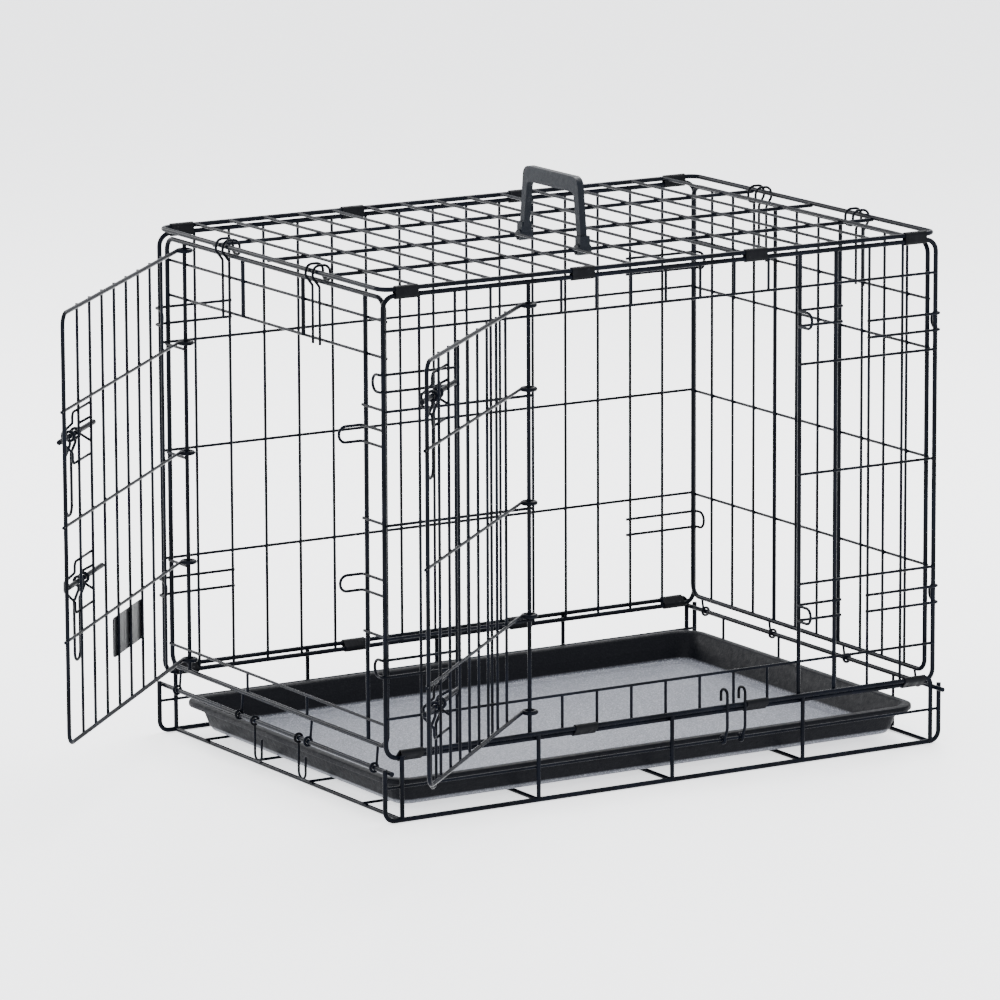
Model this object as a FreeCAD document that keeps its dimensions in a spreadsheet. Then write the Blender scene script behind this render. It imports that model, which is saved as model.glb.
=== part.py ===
"""Folding two-door wire dog crate: welded wire panels, doors, bolts, hooks, clips, pan and handle.

Millimetres.  The origin is on the floor at the middle of the crate.  +X runs from the end with
the end door to the plain end, +Y from the front with the side door to the back, +Z up.  Both
doors stand open, as the rest pose.
"""
import FreeCAD, Part
import math
import os
import re
from types import SimpleNamespace

from FreeCAD import Placement, Rotation, Vector

DIMENSIONS = [
    ("length", 610, "between the centres of the corner wires, end to end"),
    ("base_wall", 217, "from the middle to the base's front and back rails"),
    ("panel_wall", 212.2, "from the middle to the front and back panels"),
    ("end_wall", 300, "from the middle to the end panels"),
    ("end_half", 206, "half the width of an end panel, centre to centre"),
    ("frame_wire", 4.6, "wire of the panels' frames"),
    ("upper_wire", 4.4, "wire of the base's front and back rails"),
    ("post_wire", 4, "heavier upright wires, door posts and the base's stubs"),
    ("grid_wire", 2.8, "wire of the grids"),
    ("grid_layer", 2.3, "how far the level wires lie outside the upright ones"),
    ("end_pitch", 38.1, "spacing of the uprights in the end panels"),
    ("frame_bend", 12, "bend of the panels' corners"),
    ("top_level", 497.7, "height of the top panel's rails"),
    ("panel_top", 491.7, "height of the front and back panels' top rails"),
    ("panel_foot", 60.5, "height of the front and back panels' bottom rails"),
    ("head_level", 459.9, "wire over the side door"),
    ("high_level", 385.6, "highest wire all round"),
    ("middle_level", 279.6, "middle wire all round"),
    ("low_level", 173.6, "lowest wire all round"),
    ("sill_level", 98.5, "wire under the side door"),
    ("end_top", 488.7, "height of the end panels' top rails"),
    ("end_foot", 69.5, "height of the end panels' bottom rails"),
    ("end_line", 467, "thin wire near the left end's top"),
    ("end_head", 433, "wire over the end door, and the right end's first wire"),
    ("end_sill", 91, "wire under the end door"),
    ("side_post", 150, "from the middle to the side door's posts"),
    ("end_post", 171.45, "from the middle to the end door's posts"),
    ("floor_level", 2.3, "centre of the base's floor rails"),
    ("base_top", 65.5, "height of the base's front and back rails"),
    ("base_middle", 33, "height of the base's thin middle wires"),
    ("base_end", 309.1, "from the middle to the base's upturned corners"),
    ("left_stub", 291, "from the middle to the base's first stub"),
    ("right_stub", 299.5, "from the middle to the base's last stub"),
    ("left_rail_level", 48, "height of the base's left rail"),
    ("right_rail_level", 55, "height of the base's right rail"),
    ("end_rail", 304.45, "from the middle to the base's end rails"),
    ("floor_pitch", 100.8, "spacing of the floor's long wires"),
    ("top_pitch", 105.1, "spacing of the top's long wires"),
    ("long_wire", 3.8, "long wires of the top panel"),
    ("door_frame", 4, "wire of the doors' frames and hinge eyes"),
    ("door_bar", 3, "level wires of the doors"),
    ("door_offset", 6.2, "from the hinge axis out to the doors' frames"),
    ("door_skin", 8.9, "from the hinge axis out to the doors' upright wires"),
    ("bolt_offset", 16.8, "from the hinge axis out to the bolts"),
    ("bolt_wire", 5, "bolt rods"),
    ("bolt_length", 108, "length of a bolt rod"),
    ("latch_wire", 3, "handle loops of the bolts"),
    ("latch_drop", 76, "how far a bolt's handle hangs"),
    ("hook_wire", 2.6, "hooks, staples and hinge eyes"),
    ("fit", 0.35, "clearance of an eye round its wire"),
    ("end_door_width", 366, "hinge axis to free edge"),
    ("side_door_width", 308, "hinge axis to free edge"),
    ("end_door_open", 45.3, "rest angle of the end door, from closed"),
    ("side_door_open", 137.2, "rest angle of the side door, from closed"),
    ("pan_length", 592, "over the pan's rim"),
    ("pan_width", 410, "over the pan's rim"),
    ("pan_floor", 6.7, "underside of the pan"),
    ("pan_rim", 36, "top of the pan's rim"),
    ("pan_sheet", 2.2, "thickness of the pan"),
    ("sleeve_sheet", 0.9, "sheet of the joining sleeves"),
    ("sleeve_length", 24, "length of a joining sleeve"),
    ("grip_rise", 68, "carry handle's height over the top's long wires"),
    ("grip_width", 7, "carry handle's size along the crate"),
    ("grip_place", -24.5, "middle of the carry handle along the crate"),
]

doc = FreeCAD.newDocument("wire_dog_crate")
sheet = doc.addObject("Spreadsheet::Sheet", "Dims")
for row, (alias, value, meaning) in enumerate(DIMENSIONS, 1):
    sheet.set(f"A{row}", alias)
    sheet.set(f"B{row}", str(value))
    sheet.setAlias(f"B{row}", alias)
    sheet.set(f"C{row}", meaning)
doc.recompute()
dim = SimpleNamespace(**{alias: float(getattr(sheet, alias)) for alias, _, _ in DIMENSIONS})

GAP = 0.05                      # between neighbouring solids that are welded together
PAST_POST = 0.3                 # how far the level wires of a strip reach past its door post
EYE_SINK = 0.4                  # how far a hook's stem sinks into its eye
WELD = 0.5                      # how far a welded wire sinks into its neighbour
UPRIGHT = Rotation()
ALONG = {"x": Rotation(Vector(0, 1, 0), 90), "y": Rotation(Vector(1, 0, 0), -90), "z": UPRIGHT}
parts = []


def bound(text):
    """The expression for a formula whose words are cells of the sheet."""
    return re.sub(r"[a-z][a-z_]*", lambda word: "Dims." + word.group(0), text)


def rod(axis, start, length, wire):
    """A straight round wire whose place and size are formulas of the sheet's cells."""
    piece = doc.addObject("Part::Cylinder", "rod")
    piece.Placement = Placement(Vector(), ALONG[axis])
    piece.setExpression("Radius", bound(f"({wire})/2"))
    piece.setExpression("Height", bound(length))
    for letter, formula in zip("xyz", start):
        piece.setExpression(f"Placement.Base.{letter}", bound(str(formula)))
    return piece


def ring(centre, axis, reach, wire):
    """A closed round eye about an axis; reach is the radius of the wire's centre line."""
    piece = doc.addObject("Part::Torus", "ring")
    piece.Placement = Placement(Vector(), ALONG[axis])
    piece.setExpression("Radius1", bound(reach))
    piece.setExpression("Radius2", bound(f"({wire})/2"))
    for letter, formula in zip("xyz", centre):
        piece.setExpression(f"Placement.Base.{letter}", bound(str(formula)))
    return piece


def rounded(points, bends, closed=False):
    """Edges of a path of straight runs joined by tangent arcs."""
    count = len(points)
    inner = range(count) if closed else range(1, count - 1)
    entry = list(points)
    leave = list(points)
    arcs = {}
    for index in inner:
        corner = points[index]
        back = (points[index - 1] - corner).normalize()
        ahead = (points[(index + 1) % count] - corner).normalize()
        half = back.getAngle(ahead) / 2
        radius = bends[index] if isinstance(bends, (list, tuple)) else bends
        if radius == 0:
            continue
        run = radius / math.tan(half)
        entry[index] = corner + back * run
        leave[index] = corner + ahead * run
        middle = (back + ahead).normalize()
        top = corner + middle * (radius / math.sin(half) - radius)
        arcs[index] = Part.Arc(entry[index], top, leave[index]).toShape()
    edges = []
    for index in range(count if closed else count - 1):
        after = (index + 1) % count
        if (entry[after] - leave[index]).Length > 1e-4:
            edges.append(Part.LineSegment(leave[index], entry[after]).toShape())
        if after in arcs:
            edges.append(arcs[after])
    return edges


def bent(points, bends, wire, closed=False):
    """A round wire bent along a path."""
    path = doc.addObject("Part::Feature", "path")
    path.Shape = Part.Wire(rounded(points, bends, closed))
    first = path.Shape.Edges[0]
    section = doc.addObject("Part::Circle", "section")
    heading = first.tangentAt(first.FirstParameter)
    section.Placement = Placement(first.valueAt(first.FirstParameter), Rotation(Vector(0, 0, 1), heading))
    section.setExpression("Radius", bound(f"({wire})/2"))
    sweep = doc.addObject("Part::Sweep", "bent_wire")
    sweep.Sections = [section]
    sweep.Spine = (path, [f"Edge{number}" for number in range(1, len(path.Shape.Edges) + 1)])
    sweep.Solid = True
    sweep.Frenet = False
    return sweep


def joined(pieces):
    """Wires welded into one solid."""
    weld = doc.addObject("Part::MultiFuse", "welded")
    weld.Shapes = pieces
    return weld


def trimmed(piece, neighbours):
    """A piece cut back to the faces of the wires that it is welded to."""
    for neighbour in neighbours:
        cut = doc.addObject("Part::Cut", "trimmed")
        cut.Base = piece
        cut.Tool = neighbour
        piece = cut
    return piece


def node(label, solids, placement=None):
    """A sub-part with its own name: one solid, or several that share a node."""
    if len(solids) == 1:
        piece = solids[0]
    else:
        piece = doc.addObject("Part::Compound", "group")
        piece.Links = solids
    piece.Label = label
    if placement is not None:
        piece.Placement = placement
    parts.append(piece)
    return piece


# ---------------------------------------------------------------- places on the walls

WALLS = {
    "front": ("x", "-", "panel_wall"),
    "back": ("x", "", "panel_wall"),
    "left": ("y", "-", "end_wall"),
    "right": ("y", "", "end_wall"),
}


def on_wall(wall, along, up, out="0"):
    """Formulas for a spot on a wall: along it, up, and out from its frame's plane."""
    axis, sign, distance = WALLS[wall]
    depth = f"{sign}({distance} + {out})"
    return (along, depth, up) if axis == "x" else (depth, along, up)


def spot(wall, along, up, out=0.0):
    """The same spot as numbers."""
    axis, sign, distance = WALLS[wall]
    depth = (getattr(dim, distance) + out) * (-1 if sign else 1)
    return Vector(along, depth, up) if axis == "x" else Vector(depth, along, up)


def upright(wall, along, low, high, wire="grid_wire"):
    return rod("z", on_wall(wall, along, low), f"{high} - ({low})", wire)


def level(wall, height, start, end, wire="grid_wire", out="grid_layer"):
    return rod(WALLS[wall][0], on_wall(wall, start, height, out), f"{end} - ({start})", wire)


def rail(wall, height, start, end):
    return level(wall, height, start, end, "frame_wire", "0")


# ---------------------------------------------------------------- panels with a door

def strip(wall, side, post, half, low, high, uprights, levels, post_wires, inside=()):
    """The welded part of a panel between its edge and a door post."""
    edge = side * half
    inner = side * (post - dim.post_wire / 2 - PAST_POST)
    points = [spot(wall, inner, high), spot(wall, edge, high), spot(wall, edge, low), spot(wall, inner, low)]
    wires = [bent(points, dim.frame_bend, "frame_wire")]
    for along, wire in uprights:
        wires.append(upright(wall, along, low, high, wire))
    for along in post_wires:
        wires.append(upright(wall, along, low, high, "post_wire"))
    start, end = sorted((inner, edge))
    for height in levels:
        wires.append(level(wall, height, start, end))
    for height in inside:
        wires.append(level(wall, height, start, end, out="-grid_layer"))
    return joined(wires)


def between_posts(wall, clear, rail_height, line_heights, low, high, uprights, wire, out="grid_layer"):
    """The welded part of a panel over or under its door."""
    wires = [rail(wall, rail_height, -clear, clear)]
    for height in line_heights:
        wires.append(level(wall, height, -clear, clear, out=out))
    for along in uprights:
        wires.append(upright(wall, along, low, high, wire))
    return joined(wires)


half_length = dim.length / 2
pitch = dim.length / 16
side_clear = dim.side_post - dim.post_wire / 2 - PAST_POST - GAP
end_clear = dim.end_post - dim.post_wire / 2 - PAST_POST - GAP
band = [dim.high_level, dim.middle_level, dim.low_level]

front_levels = [dim.head_level] + band + [dim.sill_level]
front_left = strip("front", -1, dim.side_post, half_length, dim.panel_foot, dim.panel_top,
                   [(f"-length/2 + {k}*length/16", "grid_wire") for k in (1, 2, 3)],
                   front_levels, ["-side_post"])
front_right = strip("front", 1, dim.side_post, half_length, dim.panel_foot, dim.panel_top,
                    [(f"length/2 - {k}*length/16", "grid_wire") for k in (1, 2)],
                    front_levels, ["side_post", "length/2 - 3*length/16"])
short_uprights = [f"{k}*length/16" for k in range(-3, 4)]
front_head = between_posts("front", side_clear, "panel_top", ["head_level"],
                           "head_level", "panel_top", short_uprights, "grid_wire")
front_sill = between_posts("front", side_clear, "panel_foot", ["sill_level"],
                           "panel_foot", "sill_level", short_uprights, "grid_wire")
node("front_panel", [front_left, front_head, front_sill, front_right])

left_levels = band + [dim.end_sill]
top_lines = [dim.end_line, dim.end_head]
left_front = strip("left", -1, dim.end_post, dim.end_half, dim.end_foot, dim.end_top,
                   [], left_levels, ["-end_post"], top_lines)
left_back = strip("left", 1, dim.end_post, dim.end_half, dim.end_foot, dim.end_top,
                  [], left_levels, ["end_post"], top_lines)
left_head = between_posts("left", end_clear, "end_top", ["end_line", "end_head"], "end_head", "end_top",
                          ["-1.5*end_pitch", "1.5*end_pitch"], "post_wire", "-grid_layer")
left_sill = between_posts("left", end_clear, "end_foot", ["end_sill"],
                          "end_foot", "end_sill", ["-1.5*end_pitch", "1.5*end_pitch"], "grid_wire")
node("left_end_panel", [left_front, left_head, left_sill, left_back])


# ---------------------------------------------------------------- plain panels

def plain_panel(wall, half, low, high, uprights, heights):
    corners = [spot(wall, 0, high), spot(wall, half, high), spot(wall, half, low),
               spot(wall, -half, low), spot(wall, -half, high)]
    bends = [0] + [dim.frame_bend] * 4
    path = [corners[0]] + corners[1:] + [corners[0]]
    wires = [bent(path, bends + [0], "frame_wire")]
    for along, wire in uprights:
        wires.append(upright(wall, along, low, high, wire))
    for height in heights:
        wires.append(level(wall, height, f"-{half}", f"{half}"))
    return joined(wires)


back = plain_panel("back", half_length, dim.panel_foot, dim.panel_top,
                   [(f"{k}*length/16", "grid_wire") for k in range(-7, 8)], band)
node("back_panel", [back])

right_uprights = []
for step in (-4.5, -3.5, -2.5, -1.5, -0.5, 0.5, 1.5, 2.5, 3.5, 4.5):
    heavy = abs(step) == 1.5
    right_uprights.append((f"{step}*end_pitch", "post_wire" if heavy else "grid_wire"))
right_end = plain_panel("right", dim.end_half, dim.end_foot, dim.end_top,
                        right_uprights, [dim.end_head] + band)
node("right_end_panel", [right_end])

top_corners = [Vector(0, -dim.panel_wall, dim.top_level), Vector(half_length, -dim.panel_wall, dim.top_level),
               Vector(half_length, dim.panel_wall, dim.top_level), Vector(-half_length, dim.panel_wall, dim.top_level),
               Vector(-half_length, -dim.panel_wall, dim.top_level), Vector(0, -dim.panel_wall, dim.top_level)]
top_wires = [bent(top_corners, dim.frame_bend, "frame_wire")]
CROSS_RISE = 0.9                # the top's cross wires over the middle of its rails
for k in range(-7, 8):
    start = (f"{k}*length/16", "-panel_wall", f"top_level + {CROSS_RISE}")
    top_wires.append(rod("y", start, "2*panel_wall", "grid_wire"))
long_level = f"top_level + {CROSS_RISE + WELD} - (grid_wire + long_wire)/2"
for k in (-1, 0, 1):
    top_wires.append(rod("x", ("-length/2", f"{k}*top_pitch", long_level), "length", "long_wire"))
top_panel = joined(top_wires)
node("top_panel", [top_panel])

# ---------------------------------------------------------------- base


def upper_rail_path(place):
    """The base's upper rail along one side, with both its ends turned down to the floor."""
    return [Vector(-dim.left_stub, place, dim.floor_level), Vector(-dim.left_stub, place, dim.base_top),
            Vector(dim.right_stub, place, dim.base_top), Vector(dim.right_stub, place, dim.floor_level)]


def base_wall(side):
    """The base's front or back: floor rail with upturned ends, upper rail turned down, stubs."""
    place = side * dim.base_wall
    floor_rail = [Vector(-dim.base_end, place, dim.left_rail_level + 4),
                  Vector(-dim.base_end, place, dim.floor_level),
                  Vector(dim.base_end, place, dim.floor_level),
                  Vector(dim.base_end, place, dim.right_rail_level + 4)]
    wires = [bent(floor_rail, 10, "frame_wire"), bent(upper_rail_path(place), 7, "upper_wire")]
    for k in (1, 2, 3):
        along = f"-left_stub + {k}*(left_stub + right_stub)/4"
        wires.append(rod("z", (along, place, "floor_level"), "base_top - floor_level", "post_wire"))
    inside = f"{side}*(base_wall - (post_wire + grid_wire)/2 + {WELD})"
    wires.append(rod("x", ("-base_end", inside, "base_middle"), "2*base_end", "grid_wire"))
    return joined(wires)


cross_end = f"base_wall - frame_wire/2 - {GAP}"
floor_wires = []
for k in range(5):
    along = f"-left_stub + {k}*(left_stub + right_stub)/4"
    floor_wires.append(rod("y", (along, f"-({cross_end})", "post_wire/2"), f"2*({cross_end})", "post_wire"))
long_height = f"post_wire + grid_wire/2 - {WELD}"
for step in (-1.5, -0.5, 0.5, 1.5):
    start = ("-left_stub - 4", f"{step}*floor_pitch", long_height)
    floor_wires.append(rod("x", start, "left_stub + right_stub + 4", "grid_wire"))

right_line = f"end_rail - (frame_wire + grid_wire)/2 + {WELD}"
ROD_END = 14                    # how far the right rail sticks out past the front
right_rail = rod("y", ("end_rail", f"-base_wall - {ROD_END}", "right_rail_level"),
                 f"2*base_wall + {ROD_END + 5}", "frame_wire")
right_wires = [right_rail]
for step in (-1.5, -0.5, 0.5, 1.5):
    start = (right_line, f"{step}*floor_pitch", f"post_wire + {GAP}")
    right_wires.append(rod("z", start, f"right_rail_level - post_wire - {GAP}", "grid_wire"))
left_rail = rod("y", ("-end_rail", "-base_wall - 5", "left_rail_level"), "2*base_wall + 10", "frame_wire")
base_front = base_wall(-1)
base_back = base_wall(1)
node("base_frame", [base_front, base_back, joined(floor_wires), joined(right_wires), left_rail])

# ---------------------------------------------------------------- loops and keepers on the panels


def staple_loop(wall, height, spread, tail, turn, reach, out_sign):
    """A wire doubled back on itself: two level legs on a panel, turned out or in at one end."""
    layer = dim.grid_layer
    top = height + spread / 2
    low = height - spread / 2
    depth = layer + out_sign * reach
    points = [spot(wall, tail, top, layer), spot(wall, turn, top, layer), spot(wall, turn, top, depth),
              spot(wall, turn, low, depth), spot(wall, turn, low, layer), spot(wall, tail, low, layer)]
    corner = spread / 2 - 0.3
    return bent(points, [0, 3.2, corner, corner, 3.2, 0], "grid_wire")


LOOP_HEIGHTS = (412, 146)       # corner loops on the front and back panels
loop_turn = half_length + dim.frame_wire / 2 + dim.grid_wire / 2 + 0.4
loop_tail = half_length - 2 * pitch - 3
for wall, label, panels in (("front", "front_corner_loops", [front_left, front_right]), ("back", "back_corner_loops", [back])):
    loops = []
    for side in (-1, 1):
        for height in LOOP_HEIGHTS:
            loop = staple_loop(wall, height, 16, side * loop_tail, side * loop_turn, 14.5, -1)
            panel = panels[0] if side < 0 else panels[-1]
            loops.append(trimmed(loop, [panel]))
    node(label, loops)

END_LATCHES = (359, 219.5)
SIDE_LATCHES = (430, 146)
KEEPER_REACH = 24
keeper_gap = 4                  # from a door post's centre to the keeper's turn
end_keepers = []
for height in END_LATCHES:
    loop = staple_loop("left", height, 15, -dim.end_half - 2, -dim.end_post + keeper_gap, KEEPER_REACH, 1)
    end_keepers.append(trimmed(loop, [left_front]))
node("end_door_keepers", end_keepers)
side_keepers = []
for height in SIDE_LATCHES:
    tail = half_length - 3 * pitch + 6
    loop = staple_loop("front", height, 15, tail, dim.side_post - keeper_gap, KEEPER_REACH, 1)
    side_keepers.append(trimmed(loop, [front_right]))
node("side_door_keepers", side_keepers)

# ---------------------------------------------------------------- hooks and eyes of the end panels


def top_hook(side, middle, leg_depth):
    """A doubled wire that climbs an end panel and arches over the top panel's end rail."""
    near = middle - 6.5
    far = middle + 6.5
    profile = [(leg_depth, dim.end_head - 4), (leg_depth, dim.end_top - 5), (309.4, dim.end_top + 4),
               (309.4, 503.6), (291, 503.6), (291, 489)]
    points = [Vector(side * depth, near, height) for depth, height in profile]
    points += [Vector(side * depth, far, height) for depth, height in reversed(profile)]
    bends = [0, 4, 4, 7, 7, 4, 4, 7, 7, 4, 4, 0]
    return bent(points, bends, "hook_wire")


HOOK_PLACES = (-85.5, 85.5)
left_hooks = [trimmed(top_hook(-1, middle, dim.end_wall + 2.3), [left_head]) for middle in HOOK_PLACES]
node("left_end_top_hooks", left_hooks)
right_hooks = [trimmed(top_hook(1, middle, dim.end_wall + 3.6), [right_end]) for middle in HOOK_PLACES]
node("right_end_top_hooks", right_hooks)

EYE_PLACES = (-189, -66, 66, 189)


def hinge_eye(side, rail_level, place):
    """An eye round the base's end rail with a slanted stem up to the end panel's bottom rail."""
    reach = "(frame_wire + hook_wire)/2 + fit"
    eye = ring((f"{side}*end_rail", place, rail_level), "y", reach, "hook_wire")
    radius = (dim.frame_wire + dim.hook_wire) / 2 + dim.fit
    axis_height = getattr(dim, rail_level)
    foot = Vector(side * (dim.end_rail - radius * 0.7), place, axis_height + radius * 0.714)
    head = Vector(side * dim.end_wall, place, dim.end_foot)
    stem = bent([foot, head], 0, "hook_wire - 0.1")
    return joined([eye, stem])


left_eyes = [trimmed(hinge_eye(-1, "left_rail_level", place), [left_sill if abs(place) < 100 else
                     (left_front if place < 0 else left_back)]) for place in EYE_PLACES]
node("left_end_hinge_eyes", left_eyes)
right_eyes = [trimmed(hinge_eye(1, "right_rail_level", place), [right_end]) for place in EYE_PLACES]
node("right_end_hinge_eyes", right_eyes)


def floor_hook(place):
    """A hook that hangs from the base's left rail in front of the pan."""
    reach = "(frame_wire + hook_wire)/2 + fit"
    radius = (dim.frame_wire + dim.hook_wire) / 2 + dim.fit
    eye = ring(("-end_rail", place, "left_rail_level"), "y", reach, "hook_wire")
    top = dim.left_rail_level - radius + EYE_SINK
    points = [Vector(-dim.end_rail, place, top), Vector(-dim.end_rail, place, 10),
              Vector(-dim.end_rail, place - 13, 10), Vector(-dim.end_rail, place - 13, 32)]
    return joined([eye, bent(points, 6.3, "hook_wire - 0.2")])


node("floor_hook_back", [floor_hook(36)])
node("floor_hook_front", [floor_hook(-48)])


def front_hook(along):
    """A hook with its eye on the base's middle wire, sprung over the front rails."""
    axis_place = -(dim.base_wall - (dim.post_wire + dim.grid_wire) / 2 + WELD)
    reach = "(grid_wire + latch_wire)/2 + fit"
    radius = (dim.grid_wire + dim.latch_wire) / 2 + dim.fit
    centre = (along, f"-(base_wall - (post_wire + grid_wire)/2 + {WELD})", "base_middle")
    eye = ring(centre, "x", reach, "latch_wire")
    outside = -(dim.base_wall + dim.frame_wire / 2 + dim.latch_wire / 2 + 0.5)
    tip_place = -dim.end_half - dim.frame_wire / 2 - dim.latch_wire / 2 - 0.4
    points = [Vector(along, axis_place - radius + EYE_SINK, dim.base_middle), Vector(along, outside, dim.base_middle + 12),
              Vector(along, outside, 82), Vector(along, tip_place, 82), Vector(along, tip_place, 70)]
    return joined([eye, bent(points, [0, 5, 4.9, 4.9, 0], "latch_wire - 0.2")])


node("front_hook_left", [front_hook(63.5)])
node("front_hook_right", [front_hook(83.5)])

# ---------------------------------------------------------------- joining sleeves


def sleeve(first, second, start):
    """A flat crimped sleeve round two rails that run along X; each rail is a (y, z) pair."""
    inner = dim.frame_wire / 2 + 0.15
    outer = inner + dim.sleeve_sheet

    def outline(radius):
        a = Vector(start, first[0], first[1])
        b = Vector(start, second[0], second[1])
        run = (b - a).normalize()
        side = Vector(1, 0, 0).cross(run)
        return Part.Wire([
            Part.LineSegment(a + side * radius, b + side * radius).toShape(),
            Part.Arc(b + side * radius, b + run * radius, b - side * radius).toShape(),
            Part.LineSegment(b - side * radius, a - side * radius).toShape(),
            Part.Arc(a - side * radius, a - run * radius, a + side * radius).toShape(),
        ])

    face = Part.Face(outline(outer)).cut(Part.Face(outline(inner)))
    piece = doc.addObject("Part::Feature", "sleeve_profile")
    piece.Shape = face
    solid = doc.addObject("Part::Extrusion", "sleeve")
    solid.Base = piece
    solid.Dir = Vector(1, 0, 0)
    solid.Solid = True
    solid.setExpression("LengthFwd", bound("sleeve_length"))
    return solid


SLEEVE_MIDDLES = (-280.6, -91.5, 99.5, 280.6)
for side, label in ((-1, "front_top_clips"), (1, "back_top_clips")):
    rails = ((side * dim.panel_wall, dim.top_level), (side * dim.panel_wall, dim.panel_top))
    node(label, [sleeve(*rails, middle - dim.sleeve_length / 2) for middle in SLEEVE_MIDDLES])
for side, label in ((-1, "front_bottom_clips"), (1, "back_bottom_clips")):
    rails = ((side * dim.base_wall, dim.base_top), (side * dim.panel_wall, dim.panel_foot))
    bend = bent(upper_rail_path(side * dim.base_wall), 7, "frame_wire + 0.5")
    clips = [sleeve(*rails, middle - dim.sleeve_length / 2) for middle in SLEEVE_MIDDLES]
    node(label, [trimmed(clips[0], [bend]), clips[1], clips[2], trimmed(clips[3], [bend])])

# ---------------------------------------------------------------- doors, in their own frame
# A door's frame has its hinge axis on Z, the door along +X and its outer face towards -Y.

DOOR_BARS = (391.6, 284.6, 177.6)
GUIDE_REACH = 24                # half the height of the longer bolt guides


def door_panel(label, placement, width, low, high, first_upright, upright_pitch):
    plane = -dim.door_offset
    frame = [Vector(0, plane, high), Vector(width, plane, high), Vector(width, plane, low), Vector(0, plane, low)]
    wires = [bent(frame, 11, "door_frame")]
    for height in (low, high) + DOOR_BARS:
        wires.append(ring(("0", "0", height), "z", "door_offset", "door_frame"))
    for height in DOOR_BARS:
        wires.append(rod("x", ("0", "-door_offset - 0.4", height), f"{width + 6}", "door_bar"))
    for k in range(8):
        along = first_upright + k * upright_pitch
        wires.append(rod("z", (along, "-door_skin", low - 1.5), f"{high - low + 3}", "grid_wire"))
    return node(label, [joined(wires)], placement)


def bolt_guides(label, placement, upright_place, next_place, guide_place, heights):
    """What a bolt slides through: a staple on an upright wire, and a longer wire welded across two."""
    outer = -(dim.bolt_offset + dim.bolt_wire / 2 + 0.4 + dim.hook_wire / 2)
    weld_plane = -(dim.door_skin + (dim.grid_wire + dim.hook_wire) / 2 - WELD)
    root = -(dim.door_skin + dim.grid_wire / 2 - WELD)
    guides = []
    for height in heights:
        backings = [rod("z", (place, "-door_skin", height - 30), "60", "grid_wire") for place in (upright_place, next_place)]
        hump = [Vector(upright_place, root, height + 11), Vector(upright_place, outer, height + 4.5),
                Vector(upright_place, outer, height - 4.5), Vector(upright_place, root, height - 11)]
        guides.append(trimmed(bent(hump, 3.4, "hook_wire"), backings[:1]))
        half = [(upright_place - 2.5, weld_plane, GUIDE_REACH), (guide_place, weld_plane, GUIDE_REACH),
                (guide_place, weld_plane, 14), (guide_place, outer, 4.5)]
        across = [Vector(along, out, height + rise) for along, out, rise in half]
        across += [Vector(along, out, height - rise) for along, out, rise in reversed(half)]
        guides.append(trimmed(bent(across, [0, 5, 3.4, 3.4, 3.4, 3.4, 5, 0], "hook_wire"), backings))
    return node(label, guides, placement)


def bolt(label, placement, tip, height):
    """A round rod with its ends rounded over."""
    shaft = rod("x", (tip - dim.bolt_length, "-bolt_offset", height), "bolt_length", "bolt_wire")
    blunt = doc.addObject("Part::Fillet", "blunt_ends")
    blunt.Base = shaft
    doc.recompute()
    blunt.Edges = [(number, 1.6, 1.6) for number, edge in enumerate(shaft.Shape.Edges, 1)
                   if isinstance(edge.Curve, Part.Circle)]
    return node(label, [blunt], placement)


HANDLE_SETBACK = 42             # from a bolt's tip back to its handle
HANDLE_HALF = 8.5               # half the spacing of a handle's legs
HANDLE_STEP = 4.5               # how far the legs stand out past the bolt


def latch_loop(label, placement, tip, height):
    """A hairpin handle with two eyes round the bolt and legs that step outwards below it."""
    middle = tip - HANDLE_SETBACK
    reach = "(bolt_wire + latch_wire)/2 + fit - 0.05"
    radius = (dim.bolt_wire + dim.latch_wire) / 2 + dim.fit - 0.05
    wires = []
    for side in (-1, 1):
        wires.append(ring((middle + side * HANDLE_HALF, "-bolt_offset", height), "x", reach, "latch_wire"))
    near = -dim.bolt_offset
    far = near - HANDLE_STEP
    leg = [(near, radius - EYE_SINK), (near, radius + 4), (far, radius + 15), (far, dim.latch_drop)]
    points = [Vector(middle - HANDLE_HALF, out, height - drop) for out, drop in leg]
    points += [Vector(middle + HANDLE_HALF, out, height - drop) for out, drop in reversed(leg)]
    wires.append(bent(points, [0, 5, 5, 8, 8, 5, 5, 0], "latch_wire - 0.2"))
    return node(label, [joined(wires)], placement)


END_DOOR = SimpleNamespace(name="end_door", width=dim.end_door_width, low=81, high=481, first=47.4, pitch=38.1,
                           heights=END_LATCHES, tips=(350, 331), guide=326, turn=-90 - dim.end_door_open,
                           hinge=Vector(-dim.end_wall, dim.end_post, 0))
SIDE_DOOR = SimpleNamespace(name="side_door", width=dim.side_door_width, low=86, high=470, first=46.2, pitch=30.8,
                            heights=SIDE_LATCHES, tips=(289, 285.5), guide=275, turn=-dim.side_door_open,
                            hinge=Vector(-dim.side_post, -dim.panel_wall, 0))
for door in (END_DOOR, SIDE_DOOR):
    place = Placement(door.hinge, Rotation(Vector(0, 0, 1), door.turn))
    door_panel(door.name, place, door.width, door.low, door.high, door.first, door.pitch)
    bolt_guides(door.name + "_bolt_guides", place, door.first + 6 * door.pitch, door.first + 7 * door.pitch,
                door.guide, door.heights)
    for word, tip, height in zip(("upper", "lower"), door.tips, door.heights):
        bolt(f"{door.name}_{word}_bolt", place, tip, height)
        latch_loop(f"{door.name}_{word}_bolt_handle", place, tip, height)

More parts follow.
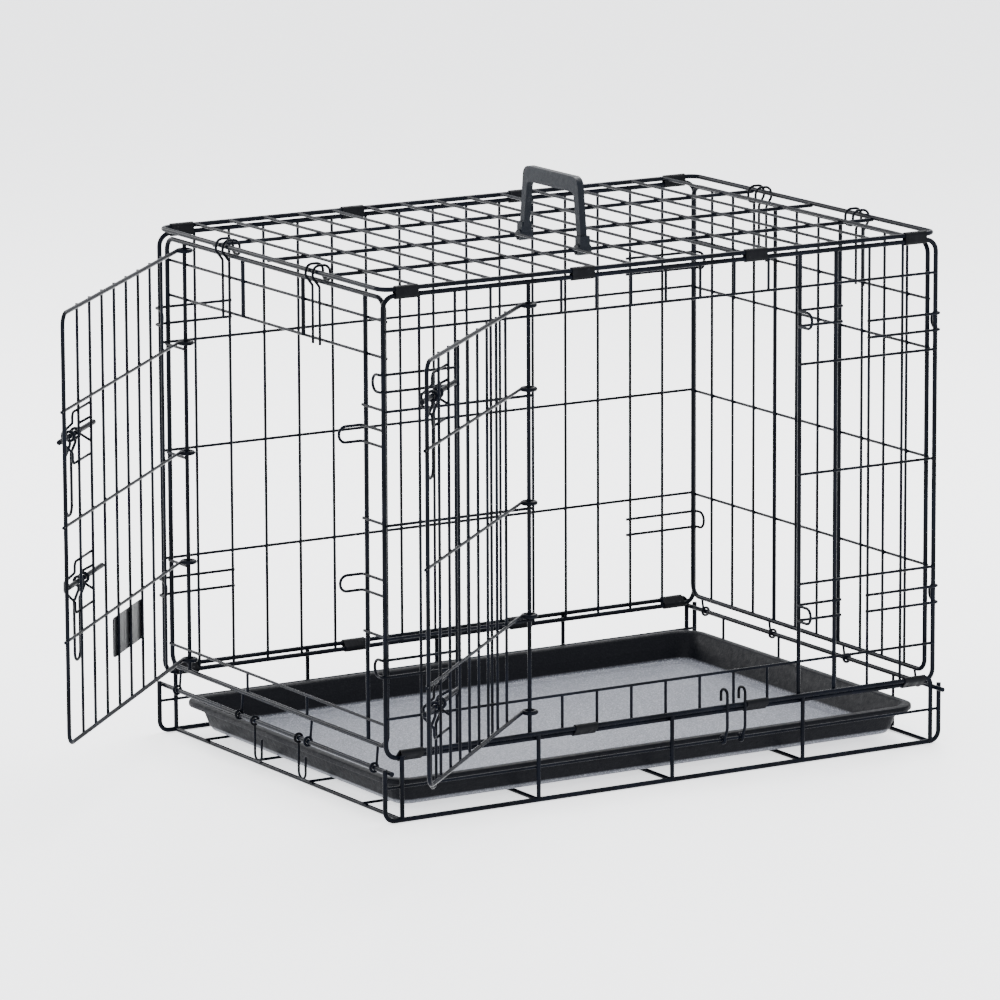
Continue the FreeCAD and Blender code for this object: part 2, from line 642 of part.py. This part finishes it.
PLATE = SimpleNamespace(start=119, width=92, low=128, height=38, sheet=1.2)
plate_box = doc.addObject("Part::Box", "plate_blank")
plate_box.Length = PLATE.width
plate_box.Width = PLATE.sheet
plate_box.Height = PLATE.height
plate_face = -(dim.door_skin + dim.grid_wire / 2 + GAP + PLATE.sheet)
plate_box.Placement.Base = Vector(PLATE.start, plate_face, PLATE.low)
plate = doc.addObject("Part::Fillet", "name_plate")
plate.Base = plate_box
doc.recompute()
plate.Edges = [(number, 4, 4) for number, edge in enumerate(plate_box.Shape.Edges, 1)
               if abs(edge.tangentAt(edge.FirstParameter).y) > 0.9]
node("end_door_name_plate", [plate], Placement(END_DOOR.hinge, Rotation(Vector(0, 0, 1), END_DOOR.turn)))

# ---------------------------------------------------------------- pan and carry handle


def rounded_slab(name, length, width, bottom, height, corner, shrink=0.0):
    """A tapered slab with rounded corners, as a loft between two rounded rectangles."""
    def outline(half_x, half_y, radius, z):
        corners = [Vector(-half_x, -half_y, z), Vector(half_x, -half_y, z), Vector(half_x, half_y, z),
                   Vector(-half_x, half_y, z)]
        return Part.Wire(rounded(corners, radius, closed=True))
    low = doc.addObject("Part::Feature", name + "_low")
    low.Shape = outline(length / 2 - shrink, width / 2 - shrink, corner - shrink / 2, bottom)
    high = doc.addObject("Part::Feature", name + "_high")
    high.Shape = outline(length / 2, width / 2, corner, bottom + height)
    loft = doc.addObject("Part::Loft", name)
    loft.Sections = [low, high]
    loft.Solid = True
    loft.Ruled = True
    return loft


PAN_LEDGE = 8                   # width of the pan's flat rim
PAN_DRAFT = 10                  # how far the pan's walls lean in
PAN_CORNER = 18
depth = dim.pan_rim - dim.pan_floor
body_length = dim.pan_length - 2 * PAN_LEDGE
body_width = dim.pan_width - 2 * PAN_LEDGE
tub = rounded_slab("tub", body_length, body_width, dim.pan_floor, depth, PAN_CORNER, PAN_DRAFT)
rim = rounded_slab("rim", dim.pan_length, dim.pan_width, dim.pan_rim - dim.pan_sheet, dim.pan_sheet, PAN_CORNER + PAN_LEDGE)
outside = doc.addObject("Part::Fuse", "pan_outside")
outside.Base = tub
outside.Tool = rim
hollow = rounded_slab("hollow", body_length - 2 * dim.pan_sheet, body_width - 2 * dim.pan_sheet,
                      dim.pan_floor + dim.pan_sheet, depth, PAN_CORNER - dim.pan_sheet, PAN_DRAFT)
pan = doc.addObject("Part::Cut", "pan")
pan.Base = outside
pan.Tool = hollow
node("floor_pan", [pan], Placement(Vector(2, 0, 0), Rotation()))

long_height_value = dim.top_level + CROSS_RISE + WELD - (dim.grid_wire + dim.long_wire) / 2
grip_top = long_height_value + dim.grip_rise
back_wire = 0.0
front_wire = -dim.top_pitch


GRIP_BAR = 15                   # depth of the handle's grip
GRIP_LEG = 7                    # the handle's legs, across the crate
GRIP_LEAN = 7.5                 # how far each leg leans in


def carry_handle():
    """A flat grip on two leaning legs that end in snap feet round the top's long wires."""
    x = dim.grip_place - dim.grip_width / 2
    foot_height = long_height_value + 1
    back_foot = back_wire + GRIP_LEG / 2
    front_foot = front_wire - GRIP_LEG / 2
    corners = [(front_foot, foot_height), (front_foot + GRIP_LEAN, grip_top), (back_foot - GRIP_LEAN, grip_top),
               (back_foot, foot_height), (back_foot - GRIP_LEG, foot_height),
               (back_foot - GRIP_LEAN - GRIP_LEG, grip_top - GRIP_BAR),
               (front_foot + GRIP_LEAN + GRIP_LEG, grip_top - GRIP_BAR), (front_foot + GRIP_LEG, foot_height)]
    outline = rounded([Vector(x, *corner) for corner in corners], [0, 10, 10, 0, 0, 6, 6, 0], closed=True)
    face = doc.addObject("Part::Feature", "grip_outline")
    face.Shape = Part.Face(Part.Wire(outline))
    arch = doc.addObject("Part::Extrusion", "grip_arch")
    arch.Base = face
    arch.Dir = Vector(1, 0, 0)
    arch.Solid = True
    arch.setExpression("LengthFwd", bound("grip_width"))
    solids = [arch]
    for place in ("0", "-top_pitch"):
        solids.append(rod("x", ("grip_place - 7", place, long_level), "14", "long_wire + 7"))
    for place in (back_wire, front_wire):
        collar = doc.addObject("Part::Box", "foot_collar")
        collar.Length = 11
        collar.Width = 9
        collar.Height = 13
        collar.Placement.Base = Vector(dim.grip_place - 5.5, place - 4.5, long_height_value)
        solids.append(collar)
    body = joined(solids)
    bores = []
    for place in (back_wire, front_wire):
        bores.append(rod("x", ("grip_place - 30", f"{place}", long_level), "60", "long_wire + 2*fit"))
        mouth = doc.addObject("Part::Box", "mouth")
        mouth.Length = 60
        mouth.setExpression("Width", bound("long_wire*0.85"))
        mouth.Height = 12
        mouth.Placement.Base = Vector(dim.grip_place - 30, place - dim.long_wire * 0.425, long_height_value - 12)
        bores.append(mouth)
    return trimmed(body, bores)


handle = carry_handle()
node("carry_handle", [handle])

# ---------------------------------------------------------------- checks and files

doc.recompute()
for item in doc.Objects:
    failed = [word for word in item.State if word in ("Invalid", "Error")]
    if failed:
        raise RuntimeError(f"{item.Label} failed: {failed} {item.getStatusString()}")
os.makedirs("parts", exist_ok=True)
for piece in parts:
    shape = piece.Shape
    if shape.isNull() or not shape.isValid():
        raise RuntimeError(f"{piece.Label} has no valid shape")
    volumes = [solid.Volume for solid in shape.Solids]
    print(f"{piece.Label}: {len(volumes)} solids, {sum(volumes):.0f} mm3")
    shape.exportStep(f"parts/{piece.Label}.step")
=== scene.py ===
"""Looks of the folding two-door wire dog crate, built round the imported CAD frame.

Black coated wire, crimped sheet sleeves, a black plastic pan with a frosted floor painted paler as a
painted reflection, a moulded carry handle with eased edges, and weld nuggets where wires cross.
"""
import math

import bmesh
import bpy
from mathutils import Matrix, Vector


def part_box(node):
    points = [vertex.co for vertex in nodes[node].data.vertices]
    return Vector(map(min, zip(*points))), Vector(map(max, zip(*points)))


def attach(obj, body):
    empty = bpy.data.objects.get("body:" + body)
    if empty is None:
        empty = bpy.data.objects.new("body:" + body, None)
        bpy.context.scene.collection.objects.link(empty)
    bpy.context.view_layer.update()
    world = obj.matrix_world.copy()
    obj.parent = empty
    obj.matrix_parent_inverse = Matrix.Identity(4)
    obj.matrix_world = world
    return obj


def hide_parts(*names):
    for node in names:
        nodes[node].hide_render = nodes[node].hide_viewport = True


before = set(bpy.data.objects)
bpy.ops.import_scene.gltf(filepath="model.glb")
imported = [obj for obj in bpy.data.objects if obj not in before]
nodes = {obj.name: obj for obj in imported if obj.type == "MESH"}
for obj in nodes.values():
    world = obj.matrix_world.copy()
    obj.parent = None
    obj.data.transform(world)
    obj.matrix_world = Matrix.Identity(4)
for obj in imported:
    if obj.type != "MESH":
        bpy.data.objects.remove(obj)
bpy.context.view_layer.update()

MM = 0.001
COLOUR_A = 6                    # sockets of a Mix node that is set to colours
COLOUR_B = 7
COLOUR_RESULT = 2

# ---------------------------------------------------------------- materials


class Nodes:
    """Short calls for building one material's nodes."""

    def __init__(self, name):
        self.material = bpy.data.materials.new(name)
        self.material.use_nodes = True
        self.tree = self.material.node_tree
        self.shader = self.tree.nodes["Principled BSDF"]
        self.place = self.tree.nodes.new("ShaderNodeTexCoord").outputs["Object"]

    def link(self, source, target):
        self.tree.links.new(source, target)

    def noise(self, scale, detail=3.0, roughness=0.5, stretch=(1, 1, 1), shift=0.0):
        """Cloudy noise in the piece's own coordinates; shift picks another part of the pattern."""
        mapping = self.tree.nodes.new("ShaderNodeMapping")
        mapping.inputs["Scale"].default_value = stretch
        mapping.inputs["Location"].default_value = (shift, shift * 0.7, shift * 1.3)
        self.link(self.place, mapping.inputs["Vector"])
        texture = self.tree.nodes.new("ShaderNodeTexNoise")
        texture.inputs["Scale"].default_value = scale
        texture.inputs["Detail"].default_value = detail
        texture.inputs["Roughness"].default_value = roughness
        self.link(mapping.outputs["Vector"], texture.inputs["Vector"])
        return texture.outputs["Fac"]

    def cells(self, scale):
        """Small round cells, for a pebbled grain."""
        texture = self.tree.nodes.new("ShaderNodeTexVoronoi")
        texture.inputs["Scale"].default_value = scale
        self.link(self.place, texture.inputs["Vector"])
        return texture.outputs["Distance"]

    def ramp(self, source, stops):
        """stops: (position, grey level or colour)."""
        ramp = self.tree.nodes.new("ShaderNodeValToRGB")
        elements = ramp.color_ramp.elements
        while len(elements) < len(stops):
            elements.new(0.5)
        for element, (position, level) in zip(elements, stops):
            element.position = position
            element.color = (*level, 1) if isinstance(level, tuple) else (level, level, level, 1)
        self.link(source, ramp.inputs["Fac"])
        return ramp.outputs["Color"]

    def mix(self, factor, first, second):
        """A blend of two colours, each a tuple or another node's output."""
        mix = self.tree.nodes.new("ShaderNodeMix")
        mix.data_type = "RGBA"
        self.link(factor, mix.inputs["Factor"])
        for socket, value in ((mix.inputs[COLOUR_A], first), (mix.inputs[COLOUR_B], second)):
            if isinstance(value, tuple):
                socket.default_value = (*value, 1)
            else:
                self.link(value, socket)
        return mix.outputs[COLOUR_RESULT]

    def scaled(self, source, taken, given):
        """A value moved from one range to another, and held at its ends."""
        change = self.tree.nodes.new("ShaderNodeMapRange")
        self.link(source, change.inputs["Value"])
        for socket, value in zip(("From Min", "From Max", "To Min", "To Max"), taken + given):
            change.inputs[socket].default_value = value
        return change.outputs["Result"]

    def bumps(self, layers):
        """layers: (height source, distance in metres, strength)."""
        normal = None
        for height, distance, strength in layers:
            bump = self.tree.nodes.new("ShaderNodeBump")
            bump.inputs["Distance"].default_value = distance
            bump.inputs["Strength"].default_value = strength
            self.link(height, bump.inputs["Height"])
            if normal is not None:
                self.link(normal, bump.inputs["Normal"])
            normal = bump.outputs["Normal"]
        self.link(normal, self.shader.inputs["Normal"])

    def surface(self, colour, roughness, gloss):
        """Links the shader's colour and roughness; gloss is the same all over the surface."""
        self.link(colour, self.shader.inputs["Base Color"])
        self.link(roughness, self.shader.inputs["Roughness"])
        self.shader.inputs["Specular IOR Level"].default_value = gloss
        return self.material


# specular levels, set on the shader because they are uniform
COATING_GLOSS = 0.035
PAN_GLOSS = 0.06
MOULDED_GLOSS = 0.1
PAINT_GLOSS = 0.2
# the pan's own heights between which its floor's look, a frosted roughness and a paler colour that is
# painted reflection, gives way to its walls' look
PAN_FLOOR_AND_PAINTED_REFLECTION_BAND = (9.4 * MM, 12.5 * MM)


def coated_wire(name, shift, dark=(0.0010, 0.0015, 0.0030), pale=(0.0030, 0.0042, 0.0078)):
    """Black dipped coating on steel wire: slight orange peel, runs, rubbed spots and a film of dust."""
    n = Nodes(name)
    metal = (0.018, 0.019, 0.022)
    dust = (0.011, 0.011, 0.0112)
    clouds = n.ramp(n.noise(24, 4, shift=shift), [(0.35, 0.0), (0.65, 1.0)])
    coating = n.mix(clouds, dark, pale)
    rubbed = n.ramp(n.noise(95, 6, 0.65, shift=shift + 3), [(0.70, 0.0), (0.74, 1.0)])
    worn = n.mix(rubbed, coating, metal)
    settled = n.ramp(n.noise(60, 5, shift=shift + 7), [(0.5, 0.0), (0.8, 0.3)])
    dusty = n.mix(settled, worn, dust)
    roughness = n.ramp(n.noise(130, 3, shift=shift + 1), [(0.3, 0.20), (0.7, 0.32)])
    peel = n.noise(620, 2, shift=shift)
    runs = n.noise(85, 3, 0.55, stretch=(1, 1, 0.35), shift=shift + 5)
    n.bumps([(runs, 0.4 * MM, 0.12), (peel, 0.1 * MM, 0.12)])
    return n.surface(dusty, roughness, COATING_GLOSS)


def coated_sheet(name):
    """The same coating on thin crimped sheet, with dents across it and rubbed edges."""
    n = Nodes(name)
    dark = (0.002, 0.0022, 0.003)
    pale = (0.007, 0.0075, 0.009)
    metal = (0.03, 0.031, 0.034)
    coating = n.mix(n.noise(70, 4), dark, pale)
    rubbed = n.ramp(n.noise(160, 6, 0.7, shift=2), [(0.64, 0.0), (0.69, 1.0)])
    colour = n.mix(rubbed, coating, metal)
    roughness = n.ramp(n.noise(210, 3), [(0.3, 0.30), (0.7, 0.50)])
    dents = n.noise(150, 1, 0.3, stretch=(1, 0.25, 0.25))
    grain = n.noise(800, 2)
    n.bumps([(dents, 1.6 * MM, 0.8), (grain, 0.15 * MM, 0.5)])
    return n.surface(colour, roughness, COATING_GLOSS)


def pan_plastic_with_painted_reflection(name):
    """Vacuum-formed black plastic: a frosted and speckled floor painted paler as a painted reflection of
    the bright room, and stretched, darker walls.
    """
    n = Nodes(name)
    height = n.tree.nodes.new("ShaderNodeSeparateXYZ")
    n.link(n.place, height.inputs["Vector"])
    # the floor's share, 1 below the band and 0 above it: it carries the floor's frosted roughness and the
    # floor's painted reflection
    floor_and_painted_reflection_share = n.scaled(height.outputs["Z"], PAN_FLOOR_AND_PAINTED_REFLECTION_BAND, (1, 0))

    def by_height(wall, floor):
        return n.mix(floor_and_painted_reflection_share, wall, floor)

    walls = n.mix(n.noise(9, 5), (0.0012, 0.0015, 0.0026), (0.0034, 0.0040, 0.0062))
    # painted reflection: the floor's grey stands for the bright room mirrored in the black plastic
    floor = n.mix(n.noise(7, 4, shift=6), (0.070, 0.075, 0.090), (0.150, 0.157, 0.180))
    base = by_height(walls, floor)
    # specks: a speckled grain, painted far paler on the floor as glints of painted reflection
    specks = n.ramp(n.noise(640, 3, 0.7), [(0.50, 0.0), (0.64, 1.0)])
    speckled_with_painted_reflection = n.mix(specks, base, by_height((0.005, 0.0055, 0.0075), (0.30, 0.31, 0.34)))
    # scuffs: real wear, painted paler on the floor along with its painted reflection
    scuffs = n.ramp(n.noise(34, 8, 0.7, stretch=(0.25, 1, 1), shift=4), [(0.62, 0.0), (0.74, 0.5)])
    colour = n.mix(scuffs, speckled_with_painted_reflection, by_height((0.008, 0.009, 0.011), (0.20, 0.205, 0.22)))
    frosted = n.ramp(n.noise(540, 4, 0.65, shift=2), [(0.3, 0.26), (0.75, 0.46)])
    stretched = n.ramp(n.noise(220, 3, shift=5), [(0.3, 0.42), (0.75, 0.60)])
    roughness = by_height(stretched, frosted)
    waves = n.noise(13, 2)
    pebbles = n.cells(620)
    grain = n.noise(1300, 2)
    n.bumps([(waves, 2.2 * MM, 0.25), (pebbles, 0.24 * MM, 0.6), (grain, 0.12 * MM, 0.5)])
    return n.surface(colour, roughness, PAN_GLOSS)


def moulded_plastic(name):
    """Injection-moulded black plastic with a spark-eroded grain and handling marks."""
    n = Nodes(name)
    dark = (0.0028, 0.0042, 0.0068)
    pale = (0.0058, 0.0080, 0.0125)
    worn = (0.03, 0.031, 0.034)
    base = n.mix(n.noise(45, 4), dark, pale)
    marks = n.ramp(n.noise(120, 7, 0.7, stretch=(1, 0.3, 1), shift=1), [(0.62, 0.0), (0.72, 0.6)])
    colour = n.mix(marks, base, worn)
    roughness = n.ramp(n.noise(300, 3, shift=3), [(0.3, 0.36), (0.7, 0.55)])
    grain = n.noise(900, 3, 0.6)
    n.bumps([(grain, 0.25 * MM, 0.6)])
    return n.surface(colour, roughness, MOULDED_GLOSS)


def plate_paint(name):
    """Painted sheet of the blank plate: thin brushed lines under a satin coat."""
    n = Nodes(name)
    dark = (0.003, 0.0033, 0.004)
    pale = (0.008, 0.0085, 0.0098)
    chipped = (0.03, 0.0305, 0.032)
    base = n.mix(n.noise(26, 4), dark, pale)
    chips = n.ramp(n.noise(220, 5, 0.7), [(0.64, 0.0), (0.7, 0.7)])
    colour = n.mix(chips, base, chipped)
    roughness = n.ramp(n.noise(400, 3, stretch=(1, 1, 0.06)), [(0.3, 0.26), (0.7, 0.44)])
    brushing = n.noise(700, 3, stretch=(1, 1, 0.05))
    n.bumps([(brushing, 0.18 * MM, 0.6)])
    return n.surface(colour, roughness, PAINT_GLOSS)


LATCH_DARK = (0.0011, 0.0015, 0.0027)
LATCH_PALE = (0.0034, 0.0044, 0.0075)
looks = {
    "wire": coated_wire("coated_wire", 0.0),
    "door": coated_wire("coated_door_wire", 11.0),
    "latch": coated_wire("coated_latch_wire", 23.0, LATCH_DARK, LATCH_PALE),
    "sheet": coated_sheet("crimped_sheet"),
    # the pan's look holds a painted reflection on its floor
    "pan": pan_plastic_with_painted_reflection("formed_plastic_painted_reflection"),
    "handle": moulded_plastic("moulded_plastic"),
    "plate": plate_paint("plate_paint"),
}
# the first of these words that a CAD node's name holds decides its look
LOOK_WORDS = (
    ("_clips", "sheet"),
    ("_panel", "wire"),
    ("plate", "plate"),
    ("pan", "pan"),
    ("carry_handle", "handle"),
    ("bolt", "latch"),
    ("hook", "latch"),
    ("door_keepers", "wire"),
    ("door", "door"),
)


def look_of(node):
    """The look of a CAD node, from its name."""
    for word, look in LOOK_WORDS:
        if word in node:
            return look
    return "wire"


for name, obj in nodes.items():
    obj.data.materials.clear()
    obj.data.materials.append(looks[look_of(name)])
    for face in obj.data.polygons:
        face.material_index = 0

# ---------------------------------------------------------------- building pieces


def to_mesh(name, bm):
    """Turns a bmesh into a mesh, with smooth faces."""
    for face in bm.faces:
        face.smooth = True
    mesh = bpy.data.meshes.new(name)
    bm.to_mesh(mesh)
    bm.free()
    return mesh


def piece(name, mesh, look, body, placed=Matrix()):
    """A new visible piece that rides on a body."""
    obj = bpy.data.objects.new(name, mesh)
    bpy.context.scene.collection.objects.link(obj)
    obj.matrix_world = placed
    obj.data.materials.append(looks[look])
    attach(obj, body)
    return obj


def ring_outline(half_x, half_y, corner, steps):
    """Points of a rounded rectangle, anticlockwise."""
    points = []
    for quarter, (sx, sy) in enumerate(((1, 1), (-1, 1), (-1, -1), (1, -1))):
        for step in range(steps + 1):
            angle = math.pi / 2 * (quarter + step / steps)
            points.append((sx * (half_x - corner) + corner * math.cos(angle),
                           sy * (half_y - corner) + corner * math.sin(angle)))
    return points


def shell(name, rings, steps=10):
    """A skin through rings of (half_x, half_y, corner, z), with a cap over the first and the last."""
    bm = bmesh.new()
    loops = []
    for half_x, half_y, corner, z in rings:
        outline = ring_outline(half_x, half_y, corner, steps)
        loops.append([bm.verts.new((x, y, z)) for x, y in outline])
    count = len(loops[0])
    for lower, upper in zip(loops, loops[1:]):
        for index in range(count):
            after = (index + 1) % count
            bm.faces.new((lower[index], lower[after], upper[after], upper[index]))
    bm.faces.new(list(reversed(loops[0])))
    bm.faces.new(loops[-1])
    bmesh.ops.recalc_face_normals(bm, faces=bm.faces)
    return to_mesh(name, bm)


# ---------------------------------------------------------------- pan

low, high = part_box("floor_pan")
pan_centre = Vector(((low.x + high.x) / 2, (low.y + high.y) / 2, 0))
pan_x = (high.x - low.x) / 2
pan_y = (high.y - low.y) / 2
RIM_CORNER = 26 * MM            # corner radius at the rim's outer edge
LEAST_CORNER = 8 * MM
CORNER_LOSS = 0.62              # how fast the corner radius shrinks with the inset
# the pan's section, in mm: insets from the rim's outer edge, and heights over the underside
# of the floor or over the top of the rim
PAN_UNDERSIDE = ((60, 0), (23, 0), (21, 0.5), (19.5, 2.2), (18.6, 4.5))
PAN_RIM = ((10.2, -5.2), (9.4, -3.4), (8.4, -2.6), (1.9, -2.4), (1.7, -4.6), (0.4, -5.0), (0.0, -4.4),
           (0.0, -1.3), (0.4, -0.4), (1.2, 0.0), (7.4, 0.0), (8.9, -0.5), (9.9, -1.9))
PAN_FLOOR = ((17.4, 5.2), (18.4, 3.6), (20.2, 2.6), (23.5, 2.2), (30, 2.2), (31.5, 2.7), (34, 2.7),
             (35.5, 2.2), (60, 2.2))


def pan_rings():
    """Rings from the middle of the pan's underside, out to the lip, over it and down inside."""
    rings = []
    for base, section in ((low.z, PAN_UNDERSIDE), (high.z, PAN_RIM), (low.z, PAN_FLOOR)):
        for inset_mm, height in section:
            inset = inset_mm * MM
            corner = max(RIM_CORNER - inset * CORNER_LOSS, LEAST_CORNER)
            rings.append((pan_x - inset, pan_y - inset, corner, base + height * MM))
    return rings


pan = piece("pan_shell", shell("pan_shell", pan_rings()), "pan", "pan", Matrix.Translation(pan_centre))
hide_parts("floor_pan")

# ---------------------------------------------------------------- weld nuggets

LENGTH = 610 * MM
PITCH = LENGTH / 16             # between the uprights of the front, back and top
END_PITCH = 38.1 * MM           # between the uprights of the ends
COLUMNS = range(-7, 8)          # uprights of the back and top, counted from the middle
SIDE_COLUMNS = (1, 2, 3)        # uprights of the front beside the doorway, counted from each end
END_COLUMNS = 10                # uprights of the right end
LEVELS = [385.6 * MM, 279.6 * MM, 173.6 * MM]
FRONT_EXTRA_LEVELS = [459.9 * MM, 98.5 * MM]
RIGHT_EXTRA_LEVELS = [433 * MM]
RIGHT_WALL = 301.3 * MM         # middle of the right end's crossings
TOP_LAYER = 497.6 * MM          # middle of the top's crossings
TOP_ROWS = (-105.1 * MM, 0, 105.1 * MM)
NUGGET = Vector((2.0, 2.0, 1.35)) * MM
SWELL = 0.16                    # the nuggets' sizes vary by this share
SWELL_STEP = 2.4                # radians from one nugget to the next


def nuggets(name, spots, normal, body, look="wire", placed=Matrix()):
    """Small flattened beads of metal squeezed out where two wires were welded."""
    bm = bmesh.new()
    facing = Vector(normal).to_track_quat("Z", "Y").to_matrix().to_4x4()
    for number, spot in enumerate(spots):
        swell = 1 + SWELL * math.sin(number * SWELL_STEP)
        scale = Matrix.Diagonal((*(NUGGET * swell), 1))
        matrix = Matrix.Translation(spot) @ facing @ scale
        bmesh.ops.create_icosphere(bm, subdivisions=2, radius=1, matrix=matrix)
    return piece(name, to_mesh(name, bm), look, body, placed)


def crossings(axis, depth, columns, levels):
    """Where an upright wall's wires cross: the wall runs along axis and stands at depth on the other."""
    spots = []
    for column in columns:
        for level in levels:
            spots.append(Vector((column, depth, level)) if axis == "x" else Vector((depth, column, level)))
    return spots


back_low, back_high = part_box("back_panel")
back_wall = (back_low.y + back_high.y) / 2
back_columns = [k * PITCH for k in COLUMNS]
nuggets("back_panel_welds", crossings("x", back_wall, back_columns, LEVELS), (0, 1, 0), "crate")

front_columns = [-LENGTH / 2 + k * PITCH for k in SIDE_COLUMNS]
front_columns += [LENGTH / 2 - k * PITCH for k in SIDE_COLUMNS]
front_spots = crossings("x", -back_wall, front_columns, LEVELS + FRONT_EXTRA_LEVELS)
nuggets("front_panel_welds", front_spots, (0, -1, 0), "crate")

end_columns = [(k - (END_COLUMNS - 1) / 2) * END_PITCH for k in range(END_COLUMNS)]
right_spots = crossings("y", RIGHT_WALL, end_columns, LEVELS + RIGHT_EXTRA_LEVELS)
nuggets("right_end_welds", right_spots, (1, 0, 0), "right_end")

top_spots = [Vector((k * PITCH, y, TOP_LAYER)) for k in COLUMNS for y in TOP_ROWS]
nuggets("top_panel_welds", top_spots, (0, 0, 1), "crate")

# ---------------------------------------------------------------- doors' welds and the handle's edges


def door_place(hinge, turn):
    """A door's own frame: hinge axis on Z, the door along +X, its outer face towards -Y."""
    return Matrix.Translation(hinge) @ Matrix.Rotation(math.radians(turn), 4, "Z")


DOOR_LEVELS = [391.6 * MM, 284.6 * MM, 177.6 * MM]
DOOR_LAYER = -7.6 * MM          # middle of a door's crossings, in its own frame
DOOR_UPRIGHTS = 8
END_HINGE = Vector((-300, 171.45, 0)) * MM
SIDE_HINGE = Vector((-150, -212.2, 0)) * MM
END_OPEN = 45.3                 # degrees that the doors stand open
SIDE_OPEN = 137.2
# each door, its place, and in mm its first upright's distance from the hinge and the step to the next
DOORS = (
    ("end_door", door_place(END_HINGE, -90 - END_OPEN), 47.4, 38.1),
    ("side_door", door_place(SIDE_HINGE, -SIDE_OPEN), 46.2, 30.8),
)
for door, placed, first, step in DOORS:
    door_columns = [(first + k * step) * MM for k in range(DOOR_UPRIGHTS)]
    door_spots = crossings("x", DOOR_LAYER, door_columns, DOOR_LEVELS)
    nuggets(door + "_welds", door_spots, (0, -1, 0), door, "door", placed)

easing = nodes["carry_handle"].modifiers.new("eased_edges", "BEVEL")
easing.width = 1.3 * MM
easing.segments = 3
easing.limit_method = "ANGLE"
easing.angle_limit = math.radians(40)

# ---------------------------------------------------------------- stage, light and camera

FLOOR_HALF = 30                 # metres
PALE = (0.93, 0.93, 0.935, 1)
COOL_WHITE = (0.97, 0.98, 1.0, 1)
sheet = bmesh.new()
bmesh.ops.create_grid(sheet, x_segments=1, y_segments=1, size=FLOOR_HALF)
floor_mesh = to_mesh("studio_floor", sheet)
floor = bpy.data.objects.new("studio_floor", floor_mesh)
bpy.context.scene.collection.objects.link(floor)
paper = bpy.data.materials.new("studio_floor")
paper.use_nodes = True
paper_shader = paper.node_tree.nodes["Principled BSDF"]
paper_shader.inputs["Base Color"].default_value = PALE
paper_shader.inputs["Roughness"].default_value = 0.42
paper_shader.inputs["Specular IOR Level"].default_value = 0.35
paper_shader.inputs["Emission Color"].default_value = COOL_WHITE
paper_shader.inputs["Emission Strength"].default_value = 1.2
floor_mesh.materials.append(paper)

world = bpy.data.worlds.new("studio")
bpy.context.scene.world = world
world.use_nodes = True
sky = world.node_tree.nodes["Background"]
sky.inputs["Color"].default_value = COOL_WHITE
sky.inputs["Strength"].default_value = 2.0


def softbox(name, place, aim, size, watts):
    """A square area light that faces a point."""
    light = bpy.data.lights.new(name, "AREA")
    light.size = size
    light.energy = watts
    obj = bpy.data.objects.new(name, light)
    obj.location = place
    obj.rotation_euler = (Vector(aim) - Vector(place)).to_track_quat("-Z", "Y").to_euler()
    bpy.context.scene.collection.objects.link(obj)


softbox("key_light", (1.4, 0.9, 2.6), (0, 0, 0.2), 1.6, 120)
softbox("fill_light", (-2.6, -1.6, 1.8), (0, 0, 0.25), 1.8, 40)
softbox("edge_light", (-1.2, 2.8, 1.3), (0, 0, 0.25), 1.4, 70)

CAMERA_PLACE = Vector((-3.4652, -5.6344, 1.5659))
CAMERA_YAW = 31.2005            # degrees from +Y towards +X
CAMERA_PITCH = 11.3761          # degrees below the horizon
CAMERA_ROLL = -0.2413
LENS = 252.37                   # mm, on the default 36 mm sensor
FAR_CLIP = 100                  # metres
yaw = math.radians(CAMERA_YAW)
pitch = math.radians(CAMERA_PITCH)
roll = math.radians(CAMERA_ROLL)
ahead = Vector((math.sin(yaw) * math.cos(pitch), math.cos(yaw) * math.cos(pitch), -math.sin(pitch)))
side = Vector((math.cos(yaw), -math.sin(yaw), 0))
over = side.cross(ahead)
right = side * math.cos(roll) + over * math.sin(roll)
up = over * math.cos(roll) - side * math.sin(roll)
camera_data = bpy.data.cameras.new("camera")
camera_data.lens = LENS
camera_data.clip_end = FAR_CLIP
camera = bpy.data.objects.new("camera", camera_data)
bpy.context.scene.collection.objects.link(camera)
turned = Matrix((right, up, -ahead)).transposed().to_4x4()
camera.matrix_world = Matrix.Translation(CAMERA_PLACE) @ turned
bpy.context.scene.camera = camera
